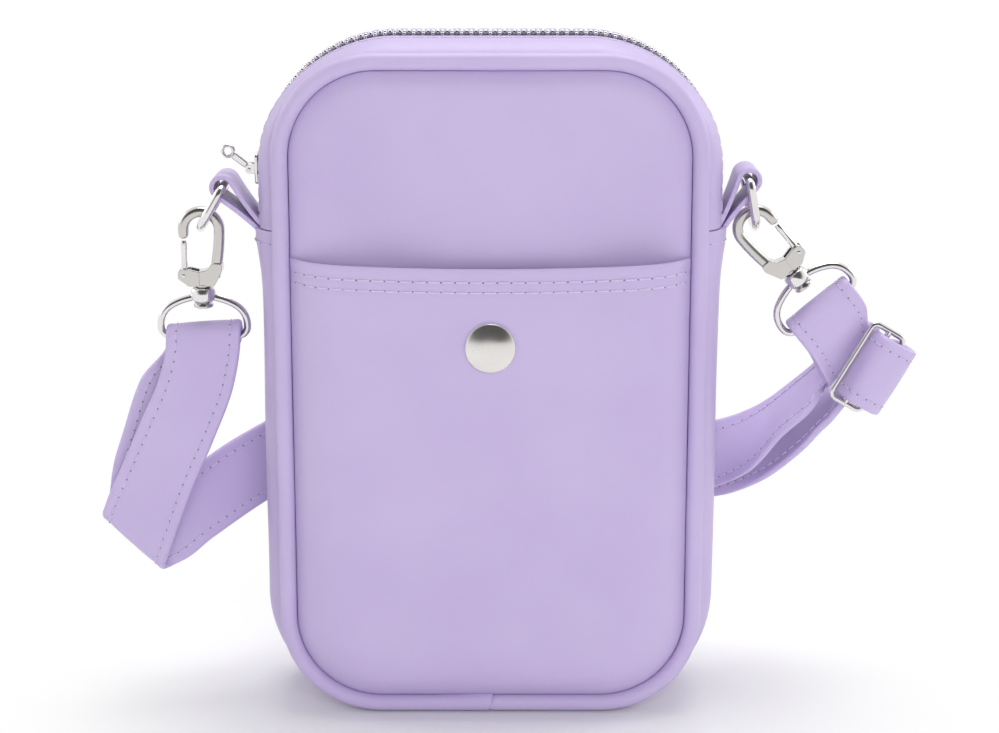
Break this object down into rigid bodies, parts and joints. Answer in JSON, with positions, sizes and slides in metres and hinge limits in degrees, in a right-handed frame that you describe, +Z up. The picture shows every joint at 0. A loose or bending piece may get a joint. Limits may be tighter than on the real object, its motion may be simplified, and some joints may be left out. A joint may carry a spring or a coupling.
{
  "type": "phone pouch",
  "caption": "Padded crossbody phone pouch with piped seams, a zip top, a snap pocket in front and an adjustable strap on swivel hooks.",
  "frame": {"origin": "centre of the flat base, on the floor", "axes": "+Z up, -Y out of the front with the snap pocket, +X to the right seen from the front"},
  "size_m": [0.214, 0.0717, 0.1756],
  "materials": {
    "leatherette": "smooth satin",
    "strap": "smooth satin",
    "lining": "woven",
    "foam": "matte",
    "piping_cord": "matte",
    "zip_tape": "woven",
    "zip_metal": "bright",
    "nickel": "polished"
  },
  "bodies": {
    "pouch": {"front_panel": "leatherette", "front_foam": "foam", "pocket_panel": "leatherette", "back_panel": "leatherette", "back_foam": "foam", "lower_gusset": "leatherette", "zip_strip_front": "leatherette", "zip_strip_back": "leatherette", "zip_tape_front": "zip_tape", "zip_tape_back": "zip_tape", "zip_teeth_front": "zip_metal", "zip_teeth_back": "zip_metal", "zip_stops": "zip_metal", "front_piping": "leatherette", "front_piping_cord": "piping_cord", "back_piping": "leatherette", "back_piping_cord": "piping_cord", "lining": "lining", "snap_stud": "nickel", "snap_post": "nickel", "tab_left": "leatherette", "tab_right": "leatherette", "strap_left_loop": "strap", "strap_hank": "strap", "strap_right_run": "strap", "strap_right_tail": "strap", "hank_tie": "strap"},
    "zip_slider": {"zip_slider": "nickel"},
    "zip_pull": {"zip_pull": "nickel"},
    "snap": {"snap_cap": "nickel", "snap_socket": "nickel"},
    "ring_left": {"ring_left": "nickel"},
    "bail_left": {"bail_left": "nickel"},
    "hook_left": {"hook_left": "nickel", "gate_pin_left": "nickel"},
    "gate_left": {"gate_left": "nickel"},
    "ring_right": {"ring_right": "nickel"},
    "bail_right": {"bail_right": "nickel"},
    "hook_right": {"hook_right": "nickel", "gate_pin_right": "nickel"},
    "gate_right": {"gate_right": "nickel"},
    "strap_slider": {"strap_slider": "nickel"}
  },
  "joints": [
    {"name": "zip_travel", "type": "hinge", "parent": "pouch", "child": "zip_slider", "pos_m": [-0.0237, 0, 0.1406], "axis": [0, 1, 0], "range_deg": [0, 88], "deforming": ["zip_tape_front", "zip_tape_back", "zip_teeth_front", "zip_teeth_back"]},
    {"name": "zip_pull_swing", "type": "hinge", "parent": "zip_slider", "child": "zip_pull", "pos_m": [-0.0613, 0, 0.1406], "axis": [0, 1, 0], "range_deg": [-10, 45]},
    {"name": "snap_release", "type": "slide", "parent": "pouch", "child": "snap", "axis": [0, -1, 0], "range_m": [0, 0.005], "deforming": ["pocket_panel"]},
    {"name": "ring_left_swing", "type": "hinge", "parent": "pouch", "child": "ring_left", "pos_m": [-0.06784, 0, 0.1363], "axis": [0, 1, 0], "range_deg": [-4, 4]},
    {"name": "bail_left_swing", "type": "hinge", "parent": "pouch", "child": "bail_left", "pos_m": [-0.07424, 0, 0.09677], "axis": [1, 0, 0], "range_deg": [-3, 3]},
    {"name": "hook_left_swivel", "type": "hinge", "parent": "bail_left", "child": "hook_left", "pos_m": [-0.07424, 0, 0.11006], "axis": [0, 0, 1], "range_deg": [-20, 20]},
    {"name": "gate_left_open", "type": "hinge", "parent": "hook_left", "child": "gate_left", "pos_m": [-0.07884, 0, 0.11296], "axis": [0, 1, 0], "range_deg": [0, 26], "stiffness_Nm_per_rad": 0.02, "springref_deg": -14.32},
    {"name": "ring_right_swing", "type": "hinge", "parent": "pouch", "child": "ring_right", "pos_m": [0.0654, 0, 0.13811], "axis": [0, 1, 0], "range_deg": [-4, 4]},
    {"name": "bail_right_swing", "type": "hinge", "parent": "pouch", "child": "bail_right", "pos_m": [0.08591, 0, 0.10371], "axis": [0.766, 0, 0.6428], "range_deg": [-3, 3]},
    {"name": "hook_right_swivel", "type": "hinge", "parent": "bail_right", "child": "hook_right", "pos_m": [0.07736, 0, 0.11389], "axis": [-0.6428, 0, 0.766], "range_deg": [-20, 20]},
    {"name": "gate_right_open", "type": "hinge", "parent": "hook_right", "child": "gate_right", "pos_m": [0.07902, 0, 0.11907], "axis": [0, -1, 0], "range_deg": [0, 26], "stiffness_Nm_per_rad": 0.02, "springref_deg": -14.32},
    {"name": "strap_slider_slide", "type": "slide", "parent": "pouch", "child": "strap_slider", "axis": [-0.866, 0, 0.5], "range_m": [0, 0.006], "deforming": ["strap_right_run", "strap_right_tail"]}
  ]
}
